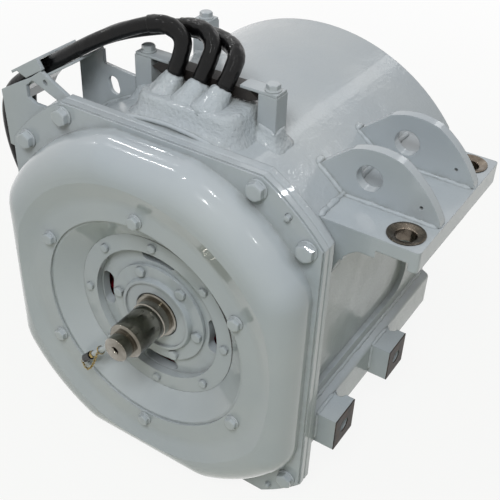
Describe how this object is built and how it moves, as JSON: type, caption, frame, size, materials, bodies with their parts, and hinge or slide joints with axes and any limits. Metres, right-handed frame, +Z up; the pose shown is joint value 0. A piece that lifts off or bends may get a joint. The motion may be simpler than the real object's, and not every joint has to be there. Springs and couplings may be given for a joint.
{
  "type": "railway traction motor",
  "caption": "Grey enclosed traction motor with a pressed air hood, drive shaft, suspension bracket with lifting ribs, side lugs and black power cables.",
  "frame": {"origin": "on the shaft centreline, in the plane of the air hood's mouth, on the plain seat of the drive shaft", "axes": "+Y along the shaft into the motor, so the drive end points along -Y; +X to the side with the suspension bracket; +Z up"},
  "size_m": [0.7311, 0.636, 0.7309],
  "materials": {
    "grey_enamel": "thick gloss enamel over cast and fabricated steel",
    "ground_steel": "ground steel, oiled",
    "bearing_steel": "ground bearing steel",
    "bush_steel": "hardened steel, tarnished brown",
    "red_varnish": "dark red insulating varnish",
    "core_laminations": "stacked electrical steel sheets",
    "cage_copper": "bare copper bars and rings",
    "winding_varnish": "copper bars taped and varnished dark red",
    "cable_sheath": "smooth black rubber sheath",
    "cleat_rubber": "moulded black rubber",
    "tinned_copper": "tinned copper",
    "nipple_brass": "bare brass",
    "cap_plastic": "moulded black plastic",
    "sensor_aluminium": "machined aluminium",
    "cage_brass": "machined brass"
  },
  "bodies": {
    "stator": {"air_hood": "grey_enamel", "bowl_bolts": "grey_enamel", "bowl_ring": "grey_enamel", "bracket_bushes": "bush_steel", "bracket_rib_front": "grey_enamel", "bracket_rib_rear": "grey_enamel", "cable_cleat": "cleat_rubber", "cable_glands": "grey_enamel", "cable_lug_u": "tinned_copper", "cable_lug_v": "tinned_copper", "cable_lug_w": "tinned_copper", "cable_strap": "grey_enamel", "cable_tray": "grey_enamel", "cap_bolts": "grey_enamel", "clamp_bolts": "grey_enamel", "clamp_plates": "grey_enamel", "cleat_posts": "grey_enamel", "drive_bearing_outer_race": "bearing_steel", "drive_end_shield": "grey_enamel", "flange_bolts": "grey_enamel", "grease_nipple": "nipple_brass", "grease_pipe": "grey_enamel", "hood_bolts": "grey_enamel", "inlet_bowl": "grey_enamel", "inner_bearing_cap": "grey_enamel", "jack_screws": "grey_enamel", "mounting_lugs": "grey_enamel", "outer_bearing_cap": "grey_enamel", "outlet_boss": "grey_enamel", "phase_cable_u": "cable_sheath", "phase_cable_v": "cable_sheath", "phase_cable_w": "cable_sheath", "rear_bearing_cap": "grey_enamel", "rear_bearing_outer_race": "bearing_steel", "rear_cap_bolts": "grey_enamel", "rear_end_shield": "grey_enamel", "rear_shield_bolts": "grey_enamel", "shoulder_front_plate": "grey_enamel", "shoulder_rear_plate": "grey_enamel", "side_rail": "grey_enamel", "speed_sensor": "sensor_aluminium", "stator_core": "core_laminations", "stator_frame": "grey_enamel", "stator_winding": "winding_varnish", "suspension_plate": "grey_enamel"},
    "rotor": {"shaft": "ground_steel", "labyrinth_ring": "ground_steel", "drive_bearing_inner_race": "bearing_steel", "rear_bearing_inner_race": "bearing_steel", "tone_wheel": "ground_steel", "rotor_core": "core_laminations", "rotor_cage": "cage_copper", "fan": "red_varnish"},
    "drive_bearing_set": {"drive_bearing_cage": "cage_brass", "drive_bearing_rollers": "bearing_steel"},
    "rear_bearing_set": {"rear_bearing_cage": "cage_brass", "rear_bearing_balls": "bearing_steel"},
    "nipple_cover": {"nipple_cap": "cap_plastic", "cap_chain": "nipple_brass"}
  },
  "joints": [
    {"name": "rotor_spin", "type": "hinge", "parent": "stator", "child": "rotor", "pos_m": [0, 0, 0], "axis": [0, 1, 0], "continuous": true},
    {"name": "drive_cage_spin", "type": "hinge", "parent": "stator", "child": "drive_bearing_set", "pos_m": [0, 0.076, 0], "axis": [0, 1, 0], "continuous": true},
    {"name": "rear_cage_spin", "type": "hinge", "parent": "stator", "child": "rear_bearing_set", "pos_m": [0, 0.5255, 0], "axis": [0, 1, 0], "continuous": true},
    {"name": "nipple_cap_pull", "type": "slide", "parent": "stator", "child": "nipple_cover", "axis": [-0.6947, 0, -0.7193], "range_m": [0, 0.018]}
  ],
  "couplings": [
    {"joint": "drive_cage_spin", "follows": "rotor_spin", "ratio": 0.43367},
    {"joint": "rear_cage_spin", "follows": "rotor_spin", "ratio": 0.40811}
  ]
}
